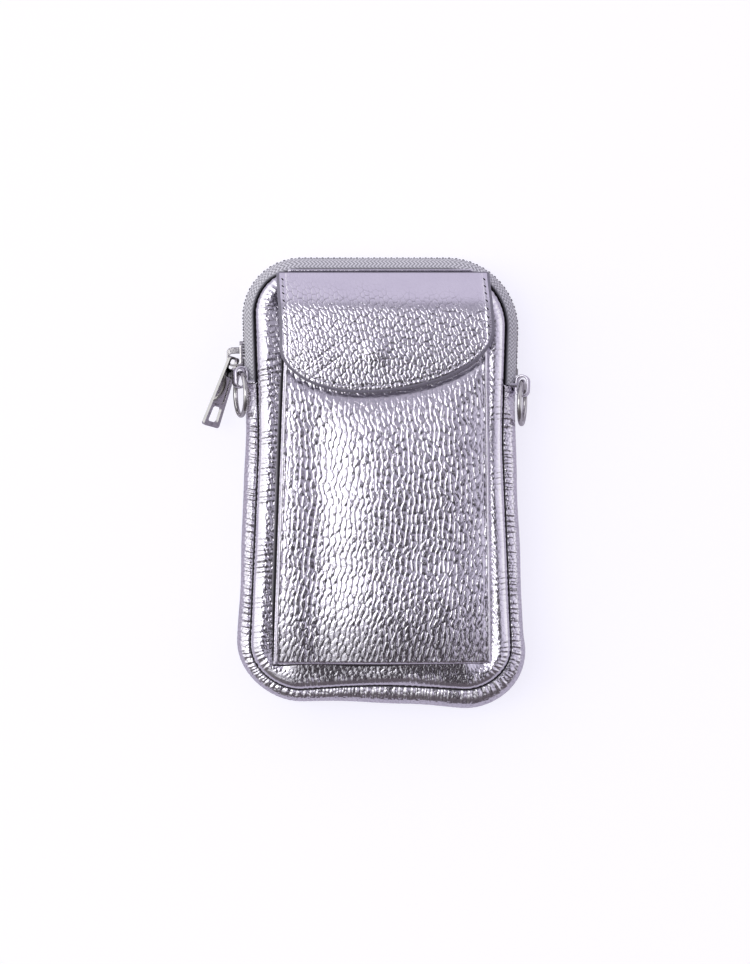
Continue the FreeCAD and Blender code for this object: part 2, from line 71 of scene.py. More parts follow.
# Body sizes, as the frame has them
half_height = 84.0
seam_half_top = 49.9
seam_half_waist = 47.9
seam_half_bottom = 52.2
waist_y = 17.0
waist_radius = 250.0
back_seam_z = 3.5
front_seam_z = 25.0
middle_z = 14.25
side_bulge = 5.8
gusset_end_left = 39.6
gusset_end_right = 38.6
bottom_lift = 2.0
bottom_bow = 1.6
half_depth = front_seam_z - middle_z
bulge_radius = (half_depth ** 2 + side_bulge ** 2) / (2 * side_bulge)
side_lean = math.atan2(seam_half_waist - seam_half_top, half_height - waist_y)


# Mesh and material helpers

def unit(vectors):
    """Vectors brought to length 1."""
    return vectors / np.linalg.norm(vectors, axis=-1, keepdims=True)


def run_along(line):
    """Distance of each point along a line of points, from its first."""
    return np.concatenate([[0], np.cumsum(np.linalg.norm(np.diff(line, axis=0), axis=1))])


def sampled(at, length, values):
    """Columns of values, known at these lengths, at other places along them."""
    return np.stack([np.interp(at, length, column) for column in values.T], -1)


def around(count):
    """Angles in even steps all the way round."""
    return np.linspace(0, TURN, count, endpoint=False)


def linked(name, data):
    """New object in the scene."""
    made = bpy.data.objects.new(name, data)
    bpy.context.scene.collection.objects.link(made)
    return made


def grid_faces(rows, columns, closed_rows, closed_columns, flip):
    """Quads that join each point of a grid to its next row and next column; flip turns them over."""
    i = np.arange(rows if closed_rows else rows - 1)
    j = np.arange(columns if closed_columns else columns - 1)
    a, b = np.meshgrid(i, j, indexing="ij")
    c = (a + 1) % rows
    d = (b + 1) % columns
    quads = [a * columns + b, c * columns + b, c * columns + d, a * columns + d]
    return np.stack(quads[::-1] if flip else quads, -1).reshape(-1, 4)


def mesh_object(name, points, faces, attributes):
    """Mesh of points in millimetres and an array of quads, smooth, with its point attributes."""
    mesh = bpy.data.meshes.new(name)
    mesh.vertices.add(len(points))
    mesh.vertices.foreach_set("co", (points * MM).astype(np.float32).ravel())
    mesh.loops.add(faces.size)
    mesh.loops.foreach_set("vertex_index", faces.astype(np.int32).ravel())
    mesh.polygons.add(len(faces))
    mesh.polygons.foreach_set("loop_start", np.arange(0, faces.size, 4, dtype=np.int32))
    mesh.polygons.foreach_set("use_smooth", np.ones(len(faces), bool))
    mesh.update(calc_edges=True)
    mesh.validate()
    for key, values in attributes.items():
        layer = mesh.attributes.new(key, "FLOAT", "POINT")
        layer.data.foreach_set("value", np.broadcast_to(values, len(points)).astype(np.float32))
    return linked(name, mesh)


def dress(piece, material, body, slot, *nodes):
    """Give a piece its material and the body it rides on, and hide the solids it stands for. Its slot is not
    used.
    """
    piece.data.materials.clear()
    piece.data.materials.append(material)
    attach(piece, body)
    if nodes:
        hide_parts(*nodes)


def surface(name, points, closed_rows=False, closed_columns=False, flip=False, **attributes):
    """Piece made of one grid of points."""
    rows, columns = points.shape[:2]
    faces = grid_faces(rows, columns, closed_rows, closed_columns, flip)
    flat = {key: np.broadcast_to(value, (rows, columns)).ravel() for key, value in attributes.items()}
    return mesh_object(name, points.reshape(-1, 3), faces, flat)


def repeated(name, points):
    """Piece made of many round grids alike: points has the shape (count, rows, columns, 3)."""
    count, rows, columns = points.shape[:3]
    faces = grid_faces(rows, columns, False, True, False)
    steps = np.arange(count)[:, None, None] * (rows * columns)
    return mesh_object(name, points.reshape(-1, 3), (faces[None] + steps).reshape(-1, 4), {})


def smooth_curve(controls, count):
    """Catmull-Rom curve through control points, at even steps of its own parameter."""
    controls = np.asarray(controls, float)
    padded = np.vstack([2 * controls[0] - controls[1], controls, 2 * controls[-1] - controls[-2]])
    t = np.linspace(0, len(controls) - 1, count)
    k = np.minimum(t.astype(int), len(controls) - 2)
    f = (t - k)[:, None]
    a, b, c, d = (padded[k + n] for n in range(4))
    return b + f / 2 * (c - a + f * (2 * a - 5 * b + 4 * c - d + f * (3 * (b - c) + d - a)))


def ease(value, low, high):
    """Smooth step from 0 at low to 1 at high."""
    t = np.clip((value - low) / (high - low), 0, 1)
    return t * t * (3 - 2 * t)


def waves(values, lengths, seed):
    """Slow uneven wave: the mean of sines of these wavelengths with fixed random phases."""
    phases = np.random.default_rng(seed).uniform(0, TURN, len(lengths))
    sines = (np.sin(TURN * values / length + phase) for length, phase in zip(lengths, phases))
    return sum(sines) / len(lengths)


def pebbles(across, along, width, length, seed):
    """Grain of tumbled leather: cells about jittered points in columns, every other one slid half a cell.

    Returns 0 in the valley round a cell, and rises over a narrow flank to a low dome that leans its own way.
    """
    size = 64
    random = np.random.default_rng(seed)
    jitter = random.uniform(0.16, 0.84, (2, size, size))
    tilt = random.uniform(-0.32, 0.32, (2, size, size))
    slide = 0.5 * (np.arange(size) % 2) + random.uniform(-0.15, 0.15, size)
    a, b = np.broadcast_arrays(across / width, along / length)
    column = np.floor(a).astype(int)
    nearest = np.full(a.shape, 9.0)
    second = np.full(a.shape, 9.0)
    lean = np.zeros(a.shape)
    for da in (-1, 0, 1):
        i = (column + da) % size
        row = np.floor(b - slide[i]).astype(int)
        for db in (-1, 0, 1):
            j = (row + db) % size
            off_a = column + da + jitter[0, i, j] - a
            off_b = row + db + slide[i] + jitter[1, i, j] - b
            gap = np.hypot(off_a, off_b)
            lean = np.where(gap < nearest, tilt[0, i, j] * off_a + tilt[1, i, j] * off_b, lean)
            second = np.minimum(second, np.maximum(gap, nearest))
            nearest = np.minimum(nearest, gap)
    flank = np.clip((second - nearest) / 0.27, 0, 1)
    return flank * (0.9 + 0.1 * np.clip(1 - nearest ** 2, 0, 1) + lean)


def valley_shade(grain, most):
    """Painted shade in the grain: this much in its valleys, and nothing on its domes."""
    return most * np.clip(1 - grain, 0, 1) ** 4


# Places on the body

def body_outline():
    """Seam outline, anticlockwise from the middle of the top, in even steps: points and outward normals.

    Straight sides join rounded corners, the sides draw in to a waist, and the bottom is drawn up,
    most in its middle.
    """
    corners = np.array([
        (-seam_half_top, half_height, 17.5), (-seam_half_waist, waist_y, -waist_radius),
        (-seam_half_bottom, -half_height, 20.5), (seam_half_bottom, -half_height, 18.5),
        (seam_half_waist, waist_y, -waist_radius), (seam_half_top, half_height, 22.5),
    ])
    places = corners[:, :2]
    ahead = unit(np.roll(places, -1, 0) - places)
    normals = np.stack([ahead[:, 1], -ahead[:, 0]], 1)
    points = [np.array([[0, half_height]])]
    outward = [np.array([[0, 1]])]
    for k in range(len(corners)):
        before = normals[k - 1]
        after = normals[k]
        radius = corners[k, 2]
        centre = places[k] - (before + after) * radius / (1 + before @ after)
        turn = np.linspace(0, 1, 24)[:, None]
        swing = unit(before * (1 - turn) + after * turn)
        points.append(centre + swing * radius)
        outward.append(swing)
    points.append(points[0])
    outward.append(outward[0])
    points = np.concatenate(points)
    outward = np.concatenate(outward)
    length = run_along(points)
    even = np.linspace(0, length[-1], 2400)
    points = sampled(even, length, points)
    outward = sampled(even, length, outward)
    bow = np.clip(1 - (points[:, 0] / 38.0) ** 2, 0, 1) ** 2
    points[:, 1] += (bottom_lift + bottom_bow * bow) * ease(points[:, 1], -62.0, -half_height)
    return points, outward, even


outline_points, outline_normals, outline_length = body_outline()
outline_total = outline_length[-1]


def along_outline(distance):
    """Point and outward normal of the seam outline at a distance from the middle of the top."""
    s = np.mod(distance, outline_total)
    point = sampled(s, outline_length, outline_points)
    return point, unit(sampled(s, outline_length, outline_normals))


def outline_distance(side, y):
    """Distance along the outline of the place at height y, on the right (side 1) or left (side -1)."""
    s = np.linspace(0, outline_total, 20000)
    point, _ = along_outline(s)
    miss = np.abs(point[:, 1] - y) + np.where(point[:, 0] * side > 0, 0, 999)
    return s[np.argmin(miss)]


def carried(distance, section):
    """Carry a section of (outward, z) columns along the outline: rows follow the distance."""
    point, normal = along_outline(distance)
    out = section[..., 0]
    x = point[:, None, 0] + normal[:, None, 0] * out
    y = point[:, None, 1] + normal[:, None, 1] * out
    return np.stack([x, y, np.broadcast_to(section[..., 1], x.shape)], -1)


def bulge_at(z):
    """How far the gusset and the tapes stand out from the seams at height z."""
    return side_bulge - bulge_radius + np.sqrt(bulge_radius ** 2 - (z - middle_z) ** 2)


def on_side(points, side, y, lift):
    """Carry (outward, up, z) places to the bulge of one side, a lift above its crest."""
    share = (y - waist_y) / (half_height - waist_y)
    seam_x = seam_half_waist + (seam_half_top - seam_half_waist) * share
    normal = np.array([side * math.cos(side_lean), math.sin(side_lean), 0])
    up = np.array([-side * math.sin(side_lean), math.cos(side_lean), 0])
    z = middle_z + lift
    base = np.array([side * seam_x, y, z]) + normal * bulge_at(z)
    turned = points[..., :1] * normal + points[..., 1:2] * up
    turned[..., 2] += points[..., 2]
    return base + turned


def add_node(tree, kind, inputs=None, **settings):
    """Add a shader node with its settings, and set or link its inputs by name or number."""
    made = tree.nodes.new("ShaderNode" + kind)
    for key, value in settings.items():
        setattr(made, key, value)
    for key, value in (inputs or {}).items():
        if isinstance(value, bpy.types.NodeSocket):
            tree.links.new(value, made.inputs[key])
        else:
            made.inputs[key].default_value = value
    return made


def linear(code):
    """Linear colour of an sRGB hex value."""
    parts = [int(code[n:n + 2], 16) / 255 for n in (1, 3, 5)]
    return tuple(c / 12.92 if c <= 0.04045 else ((c + 0.055) / 1.055) ** 2.4 for c in parts) + (1.0,)


def bare_tree(owner):
    """Empty node tree of a material or world."""
    owner.use_nodes = True
    owner.node_tree.nodes.clear()
    return owner.node_tree


def new_material(name, **shader_inputs):
    """Material with one principled shader, its constant numbers set on the shader's own sockets."""
    material = bpy.data.materials.new(name)
    tree = bare_tree(material)
    shader = add_node(tree, "BsdfPrincipled")
    for key, value in shader_inputs.items():
        shader.inputs[key.replace("_", " ")].default_value = value
    add_node(tree, "OutputMaterial", {"Surface": shader.outputs[0]})
    return material, tree, shader


def noise(tree, size, detail=2.0):
    """Factor of a noise pattern whose lumps are about this many millimetres wide."""
    place = add_node(tree, "TexCoord").outputs["Object"]
    settings = {"Vector": place, "Scale": 1 / (size * MM), "Detail": detail}
    return add_node(tree, "TexNoise", settings).outputs["Fac"]


def between(tree, factor, low, high):
    """Colours or numbers between two ends, by a factor from 0 to 1."""
    if isinstance(low, str):
        settings = {0: factor, 6: linear(low), 7: linear(high)}
        return add_node(tree, "Mix", settings, data_type="RGBA").outputs[2]
    settings = {"Value": factor, "To Min": low, "To Max": high}
    return add_node(tree, "MapRange", settings).outputs[0]


def bump(tree, height, depth, shader, strength=1.0):
    """Let a pattern raise the surface by this many millimetres."""
    settings = {"Height": height, "Distance": depth * MM, "Strength": strength}
    tree.links.new(add_node(tree, "Bump", settings).outputs[0], shader.inputs["Normal"])


# Materials

def foil_leather():
    """Tumbled cowhide with a silver foil transfer: a metal skin over soft pebbles.

    The foil mirrors its surroundings and is finely cracked into facets. The valley attribute paints shade on
    it:
    darker in the valleys of the grain, and deep in seams and gaps a matt near-black painted shadow.
    """
    material, tree, shader = new_material("silver_foil_leather")
    valley = add_node(tree, "Attribute", attribute_name="valley").outputs["Fac"]
    tone = between(tree, noise(tree, 9.0), "#EFECF3", "#E2DEE8")
    # Painted shade: the valley attribute mixes the foil's tone towards near-black #262428
    painted_shade = add_node(tree, "Mix", {0: valley, 6: tone, 7: linear("#262428")}, data_type="RGBA")
    tree.links.new(painted_shade.outputs[2], shader.inputs["Base Color"])
    # Where the painted shade is deepest the foil turns matt and not metal: a painted shadow
    settings = {"Value": valley, "From Min": 0.65, "From Max": 0.9}
    deep_shade = add_node(tree, "MapRange", settings).outputs[0]
    tree.links.new(between(tree, deep_shade, 1.0, 0.0), shader.inputs["Metallic"])
    tree.links.new(between(tree, deep_shade, 0.5, 0.0), shader.inputs["Specular IOR Level"])
    gloss = between(tree, noise(tree, 0.9, 3.0), 0.1, 0.2)
    matt = add_node(tree, "Mix", {0: deep_shade, 2: gloss, 3: 0.95}).outputs[0]
    tree.links.new(matt, shader.inputs["Roughness"])
    place = add_node(tree, "TexCoord").outputs["Object"]
    settings = {"Vector": place, "Scale": 1 / (1.3 * MM)}
    facets = add_node(tree, "TexVoronoi", settings, feature="DISTANCE_TO_EDGE")
    settings = {"Value": facets.outputs["Distance"], "From Max": 0.15}
    bump(tree, add_node(tree, "MapRange", settings).outputs[0], 0.018, shader)
    return material


def nickel_plate():
    """Die-cast zinc with polished nickel plate: a grey mirror with faint rub marks."""
    material, tree, shader = new_material("polished_nickel", Metallic=1.0)
    tree.links.new(between(tree, noise(tree, 3.0), "#CFCDCC", "#B7B5B4"), shader.inputs["Base Color"])
    tree.links.new(between(tree, noise(tree, 0.8, 4.0), 0.04, 0.12), shader.inputs["Roughness"])
    bump(tree, noise(tree, 1.5), 0.01, shader)
    return material


def zip_weave():
    """Polyester zip tape in a herringbone weave. Its colour follows the ribs: light along each, a painted
    sheen over the weave's pattern, and dark where they fade at the seam, a painted shade.
    """
    material, tree, shader = new_material("herringbone_polyester", Sheen_Weight=0.25, Roughness=0.72)
    rib_sheen_and_shade = add_node(tree, "Attribute", attribute_name="weave").outputs["Fac"]
    # Painted sheen and shade: the weave attribute runs the colour from dark to light across the ribs, and is
    # zero at the seam
    tree.links.new(between(tree, rib_sheen_and_shade, "#84838A", "#E9E8EE"), shader.inputs["Base Color"])
    bump(tree, noise(tree, 0.35, 3.0), 0.05, shader)
    return material


def nylon_coil():
    """Nylon monofilament, drawn and heat set: smooth, slightly glossy grey."""
    material, tree, shader = new_material("nylon_coil", IOR=1.53)
    tree.links.new(between(tree, noise(tree, 2.0), "#58575D", "#757479"), shader.inputs["Base Color"])
    tree.links.new(between(tree, noise(tree, 0.7), 0.3, 0.45), shader.inputs["Roughness"])
    return material


def woven_cloth(name, dark, light):
    """Plain woven polyester lining; its threads are drawn 0.8 mm apart so that they show."""
    material, tree, shader = new_material(name, Roughness=0.8, Sheen_Weight=0.2)
    place = add_node(tree, "TexCoord").outputs["Object"]
    threads = []
    for direction in ("X", "Y"):
        settings = {"Vector": place, "Scale": TURN / (20 * 0.8 * MM)}
        wave = add_node(tree, "TexWave", settings, bands_direction=direction)
        threads.append(wave.outputs["Fac"])
    crossed = add_node(tree, "Math", {0: threads[0], 1: threads[1]}, operation="MULTIPLY")
    weave = crossed.outputs[0]
    tree.links.new(between(tree, weave, dark, light), shader.inputs["Base Color"])
    bump(tree, weave, 0.1, shader)
    return material


def grained(name, size, dark, light, rough_low, rough_high, depth, **constants):
    """Plain finish with fine grain of one size that varies its colour, gloss and height."""
    material, tree, shader = new_material(name, **constants)
    grain = noise(tree, size, 4.0)
    tree.links.new(between(tree, grain, dark, light), shader.inputs["Base Color"])
    tree.links.new(between(tree, grain, rough_low, rough_high), shader.inputs["Roughness"])
    bump(tree, grain, depth, shader)
    return material


silver = foil_leather()
nickel = nickel_plate()
tape_weave = zip_weave()
coil_nylon = nylon_coil()
lining_taffeta = woven_cloth("polyester_taffeta", "#6E6C73", "#8F8D95")
# Acrylic edge paint over cut leather: satin, with a slightly lumpy coat
edge_paint = grained("edge_paint", 0.7, "#726E7B", "#8F8B99", 0.38, 0.55, 0.08)
# Flesh side of the hide, sueded: matt nap in soft patches
flesh_side = grained("suede_flesh_side", 1.2, "#7D7A82", "#9A979F", 0.85, 0.97, 0.12)
# Bonded polyester sewing thread: satin with a fine twist
sewing_thread = grained("sewing_thread", 0.3, "#97949D", "#BEBBC4", 0.45, 0.65, 0.05)
# Needle holes, painted near-black as the shade inside them
needle_shade = grained("painted_needle_hole_shade", 0.4, "#232126", "#39363C", 0.8, 0.95, 0.05)
# Nickel-plated magnet steel with a tumbled surface
magnet_plate = grained("plated_magnet", 0.6, "#A9A8A6", "#C2C1BF", 0.25, 0.4, 0.02, Metallic=1.0)


# Leather of the body

def silver_piece(name, points, body, *nodes, **shape):
    """Grid of points as a piece of silver leather."""
    dress(surface(name, points, **shape), silver, body, "silver_leather", *nodes)


def bordered(distance, controls, count, push):
    """Section through control points of (inset, z), pushed along its own normal by push(s, inset)."""
    curve = smooth_curve(controls, count)
    slope = np.gradient(curve, axis=0)
    normal = unit(np.stack([-slope[:, 1], slope[:, 0]], 1))
    pushed = push(distance[:, None], curve[None, :, 0])
    moved = curve[None] + normal[None] * pushed[..., None]
    moved[..., 0] *= -1
    return moved


def puckers(s, pitch, seed):
    """Fine gathers across a seam: a wave of about this pitch whose phase and depth wander."""
    wander = waves(s, (7.0, 11.0, 17.0, 29.0), seed)
    depth = np.clip(0.5 + 0.9 * waves(s, (13.0, 23.0, 37.0), seed + 1), 0.08, 1.1)
    return depth * np.sin(TURN * s / pitch + 2.2 * wander)


panel_steps = np.linspace(0, outline_total, 1201)[:-1]
panel_columns = 56
panel_grain = (2.3, 2.1, 12)
panel_inner = 16.0
panel_rings = 10
# Sections of the panels' borders as (inset from the seam, z), from under the seam to the flat
front_border = [(2.4, 24.2), (1.5, 24.5), (0.9, 24.9), (0.45, 25.4), (0.15, 26.0), (0.2, 26.7),
                (0.6, 27.5), (1.4, 28.3), (2.6, 28.95), (4.0, 29.2), (5.4, 29.05), (6.9, 28.65),
                (8.8, 28.3), (11.5, 28.1), (panel_inner, 28.1)]
back_border = [(2.2, 4.1), (1.2, 3.9), (0.45, 3.5), (0.3, 2.9), (0.7, 2.2), (1.6, 1.2),
               (3.2, 0.35), (6.0, 0.02), (10.0, 0.0), (panel_inner, 0.0)]


def front_push(s, inset):
    """Gathers at the seam, slow fullness and grain; the flap's root presses the top edge down.

    Along the bottom the leather climbs from the seam all the way to the pocket, and at the sides it is
    filled out. At the right it has fine wrinkles and less grain.
    """
    half_way = outline_total / 2
    right = ease(s, half_way + 50.0, half_way + 75.0)
    right = right * ease(s, outline_total - 45.0, outline_total - 65.0)
    left = ease(s, 45.0, 60.0) * ease(s, half_way - 45.0, half_way - 65.0)
    reach = (inset - 2.2) / (2.6 + 1.2 * left)
    gathers = (0.2 - 0.05 * right) * puckers(s + 0.15 * inset, 2.3, 3) * np.exp(-reach ** 2)
    wrinkles = 0.09 * right * puckers(s - 1.3 * inset, 2.7, 15)
    wrinkles = wrinkles * ease(inset, 3.5, 5.5) * ease(inset, 11.0, 8.0)
    fullness = 0.4 * waves(s, (38.0, 61.0, 90.0), 8) * ease(inset, 0.6, 4.0)
    grain = 0.14 * (1 - 0.6 * right) * pebbles(s, inset, *panel_grain) * ease(inset, 1.0, 4.0)
    from_top = np.abs(np.mod(s + half_way, outline_total) - half_way)
    pressed = 0.45 * ease(from_top, 44.0, 34.0)
    drawn = 2.2 * ease(from_top, half_way - 50.0, half_way - 34.0)
    drawn = drawn * ease(inset, 3.0, 11.0) * ease(inset, panel_inner, 13.5)
    filled = (0.2 * right + 0.55 * left) * ease(inset, 4.0, 9.0)
    return gathers + wrinkles + fullness + grain - pressed + drawn + filled


def back_push(s, inset):
    """Faint gathers beside the seam of the back."""
    return 0.1 * puckers(s, 2.2, 5) * np.exp(-((inset - 1.5) / 1.6) ** 2)


def shrunk(rim, shares):
    """Rings of a rim of points, each drawn in to a share of its size at the same height."""
    return rim * np.array([1, 1, 0]) * shares[None, :, None] + rim * np.array([0, 0, 1])


def panel_leather(name, controls, push, node, flip):
    """Panel: a border section carried round the outline, then rings that shrink to its middle."""
    border = carried(panel_steps, bordered(panel_steps, controls, panel_columns, push))
    inner = shrunk(border[:, -1:, :], np.linspace(1, 0.02, panel_rings + 1)[1:])
    points = np.concatenate([border, inner], 1)
    inset = np.concatenate([smooth_curve(controls, panel_columns)[:, 0], np.full(panel_rings, panel_inner)])
    grain = pebbles(panel_steps[:, None], inset[None], *panel_grain)
    # Painted shade: darker in the grain's valleys, and near-black over the first columns, which sink into the
    # seam
    painted_shade = valley_shade(grain, 0.5) * ease(inset, 1.0, 4.0)
    seam_shade = 0.9 * (1 - ease(np.arange(len(inset)), 6, 15))
    valley = np.maximum(painted_shade, seam_shade[None])
    silver_piece(name, points, "pouch", node, closed_rows=True, flip=flip, valley=valley)


panel_leather("front_leather", front_border, front_push, "front_panel", False)
panel_leather("back_leather", back_border, back_push, "back_panel", True)

left_end = outline_distance(-1, gusset_end_left)
right_end = outline_distance(1, gusset_end_right)
gusset_grain = (1.8, 2.2, 41)
gusset_turn_in = 1.2
squareness = 0.65

# Section of the gusset from the front seam to the back one: closer steps near the seams
gusset_share = np.linspace(1, -1, 56)
gusset_turn = math.pi / 2 * np.sign(gusset_share) * (1 - (1 - np.abs(gusset_share)) ** 1.6)
gusset_out = side_bulge * np.abs(np.cos(gusset_turn)) ** squareness
gusset_rise = np.sign(gusset_turn) * np.abs(np.sin(gusset_turn)) ** squareness
gusset_line = np.stack([gusset_out, middle_z + (half_depth - 0.5) * gusset_rise], 1)
gusset_ahead = unit(np.gradient(gusset_line, axis=0))
gusset_run = run_along(gusset_line)
from_seam = np.minimum(gusset_run, gusset_run[-1] - gusset_run)


def gusset_section(s):
    """Gusset section at each distance: half of a squarish ellipse, gathered at both seams.

    It is fuller towards the right of the bottom, stands a little above the seam at the left, is no fuller
    than the zip beside its ends, and turns in there.
    """
    out, z = gusset_line.T
    end = np.minimum(s - left_end, right_end - s)[:, None]
    plain = bulge_at(z) + ease(end, 4.0, 16.0) * (out - bulge_at(z))
    along = s - (left_end + right_end) / 2
    bottom = ease(np.abs(along), 70.0, 45.0) * (2.6 * ease(along, -35.0, 10.0) - 0.2)
    fuller = bottom + 0.35 * waves(s, (34.0, 52.0, 83.0), 21)
    lean = s[:, None] + 0.15 * from_seam[None]
    gathers = 0.24 * puckers(lean, 2.5, 31) + 0.12 * puckers(lean, 1.3, 35)
    gathers = gathers * np.exp(-((from_seam - 1.5) / 4.5) ** 2)
    grain = 0.15 * pebbles(s[:, None], gusset_run[None], *gusset_grain)
    relief = (gathers + grain) * ease(from_seam, 0.2, 1.2)
    crest = 0.28 * ease(along, -60.0, -85.0)[:, None] * np.exp(-((gusset_run - 1.9) / 0.9) ** 2)
    wall = plain + fuller[:, None] * np.cos(gusset_turn) - relief * gusset_ahead[:, 1]
    height = z + relief * gusset_ahead[:, 0] + crest
    tucked = np.broadcast_to(np.array([-1.8, -0.7]), (len(s), 2))
    wall = np.concatenate([tucked, wall, tucked[:, ::-1]], 1)
    sunk = np.broadcast_to(np.array([half_depth - 0.9, half_depth - 0.7]), (len(s), 2))
    height = np.concatenate([middle_z + sunk, height, middle_z - sunk[:, ::-1]], 1)
    round_off = 1 - np.clip(end / gusset_turn_in, 0, 1)
    turn_in = 1.3 * (1 - np.sqrt(np.clip(1 - round_off ** 2, 0, 1)))
    return np.stack([wall - turn_in, height], -1)


gusset_steps = np.concatenate([
    left_end + np.linspace(0, gusset_turn_in, 8)[:-1],
    np.linspace(left_end + gusset_turn_in, right_end - gusset_turn_in, 1500),
    right_end - np.linspace(gusset_turn_in, 0, 8)[1:],
])
gusset_points = carried(gusset_steps, gusset_section(gusset_steps))
# Painted shade: darker in the grain's valleys, near-black within a millimetre of each seam and on the columns
# tucked into it
gusset_shade = valley_shade(pebbles(gusset_steps[:, None], gusset_run[None], *gusset_grain), 0.5)
gusset_shade = np.maximum(gusset_shade, ease(from_seam, 1.2, 0.4))
gusset_shade = np.pad(gusset_shade, ((0, 0), (2, 2)), constant_values=1.0)
silver_piece("gusset_leather", gusset_points, "pouch", "gusset", valley=gusset_shade)


# Zip

zip_steps = np.linspace(right_end - outline_total, left_end, 1400)


def zip_tape(name, node, side):
    """Woven tape over the bulge, from its seam to the coil, where its edge folds in.

    Ribs of a herringbone run up and down in turn along it and stand a little proud. Along the top the tape
    is drawn inward.
    """
    columns = 38
    heights = middle_z + side * np.linspace(half_depth - 1.0, 1.3, columns)
    from_middle = np.abs(heights - middle_z)
    out = bulge_at(heights)
    across = np.concatenate([[0], np.cumsum(np.hypot(np.diff(out), np.diff(heights)))])
    fold = np.abs((across / 2.6) % 1 - 0.5) * 2
    ribs = 0.5 + 0.5 * np.sin(TURN * (zip_steps[:, None] / 1.5 + 0.9 * fold[None]))
    slack = 0.12 * waves(zip_steps, (23.0, 41.0, 67.0), 51)[:, None]
    slack = slack * np.sin(np.linspace(0, math.pi, columns))[None]
    flat = 0.3 * ease(from_middle, 4.5, 1.3)
    # The ribs fade out towards the seam, in height and, through the weave attribute, as painted shade
    ribs = ribs * ease(across, 0.0, 1.2)[None]
    drawn = 0.8 * ease(np.abs(zip_steps), 46.0, 36.0)[:, None] * ease(from_middle, 6.0, 9.7)[None]
    wall = out[None] + 0.12 * ribs + slack - flat[None] - drawn
    seam = wall[:, :1] - np.array([2.2, 0.6])
    wall = np.concatenate([seam, wall, wall[:, -1:] - 0.6], 1)
    heights = np.concatenate([middle_z + side * np.array([6.0, 7.5]), heights, [middle_z + side * 1.25]])
    section = np.stack([wall, np.broadcast_to(heights, wall.shape)], -1)
    # The seam columns take the faded first column: painted shade in the seam
    weave = np.concatenate([ribs[:, :1], ribs[:, :1], ribs, ribs[:, -1:]], 1)
    piece = surface(name, carried(zip_steps, section), flip=side < 0, weave=weave)
    dress(piece, tape_weave, "pouch", "zip_tape", node)


def seam_margin(name, side):
    """Edge of the leather, turned in under the seam and down behind the zip's tape, painted wholly near-black
    as the shadow in the seam.
    """
    out = np.array([-3.4, -1.2, 0.6, 1.0])
    height = middle_z + side * np.array([9.75, 9.5, 9.0, 8.2])
    section = np.broadcast_to(np.stack([out, height], -1), (len(zip_steps), 4, 2))
    # valley=1.0 paints the whole strip with the near-black painted shade
    silver_piece(name, carried(zip_steps, section), "pouch", flip=side < 0, valley=1.0)


def tube(name, centre, guide, radius, sides):
    """Round tube along a line of points; guide gives a direction that the tube is never parallel to."""
    ahead = unit(np.gradient(centre, axis=0))
    first = unit(guide - (guide * ahead).sum(1, keepdims=True) * ahead)
    second = np.cross(ahead, first)
    angle = around(sides)[None, :, None]
    ring = np.cos(angle) * first[:, None] + np.sin(angle) * second[:, None]
    return surface(name, centre[:, None] + radius * ring, closed_columns=True, flip=True)


def zip_coil(name, node, side, phase):
    """Nylon filament wound as a flattened helix beside the middle line."""
    pitch = 2.3
    turn_points = 14
    start = outline_distance(1, 45.55) - outline_total
    end = outline_distance(-1, 50.0)
    turns = np.arange(int((end - start) / pitch * turn_points)) / turn_points
    angle = TURN * turns + phase
    section = np.stack([4.45 + 1.3 * np.cos(angle), middle_z + side * 0.8 + np.sin(angle)], -1)[:, None]
    distance = start + pitch * turns
    centre = carried(distance, section)[:, 0]
    guide = carried(distance + 0.1, section)[:, 0] - centre
    dress(tube(name, centre, guide, 0.45, 6), coil_nylon, "pouch", "zip_coil", node)


for half, half_side, coil_phase in (("front", 1, 0), ("back", -1, math.pi)):
    seam_margin("seam_margin_" + half, half_side)
    zip_tape("tape_" + half, "zip_tape_" + half, half_side)
    zip_coil("coil_" + half, "zip_coil_" + half, half_side, coil_phase)


# Loops and rings

loop_out = 3.35
loop_bore = 1.8
loop_leather = 0.9
loop_drop = 3.5
loop_half = 3.0
ring_radius = 8.45
ring_wire = 0.95


def leaned(points, tilt):
    """Lean (outward, up, z) places about the upright axis, then move them out to the loop's middle."""
    out = points[..., 0] * math.cos(tilt) - points[..., 2] * math.sin(tilt) + loop_out
    z = points[..., 0] * math.sin(tilt) + points[..., 2] * math.cos(tilt)
    return np.stack([out, points[..., 1], z], -1)


def leather_loop(name, node, side, y, lift, tilt):
    """Strip of leather bent to an upright stadium round the ring, with rounded edges."""
    turn = around(72)
    fall = np.where(np.sin(turn) < 0, -loop_drop, 0.0)
    edge = around(20)
    thick = loop_bore + loop_leather / 2 + loop_leather / 2 * np.cos(edge)
    width = np.sign(np.sin(edge)) * (loop_half - 0.45 + 0.45 * np.abs(np.sin(edge)))
    out = np.cos(turn)[:, None] * thick[None]
    up = np.sin(turn)[:, None] * thick[None] + fall[:, None]
    z = np.broadcast_to(width[None], out.shape)
    points = on_side(leaned(np.stack([out, up, z], -1), tilt), side, y, lift)
    silver_piece(name, points, "pouch", node, closed_rows=True, closed_columns=True,
                 flip=side > 0, valley=0.05)


def loop_tail(name, side, y, lift, seam):
    """Two leaves of the loop, pressed together, that go into the seam between zip and gusset."""
    edge = around(24)
    up = seam - y + 0.9 * np.sign(np.sin(edge)) * np.abs(np.sin(edge)) ** 0.4
    z = loop_half * np.sign(np.cos(edge)) * np.abs(np.cos(edge)) ** 0.3
    out = np.linspace(-2.6, 0.9, 8)
    points = np.stack(np.broadcast_arrays(out[:, None], up[None], z[None]), -1)
    points = on_side(points, side, y, lift)
    silver_piece(name, points, "pouch", closed_columns=True, flip=side > 0, valley=0.2)


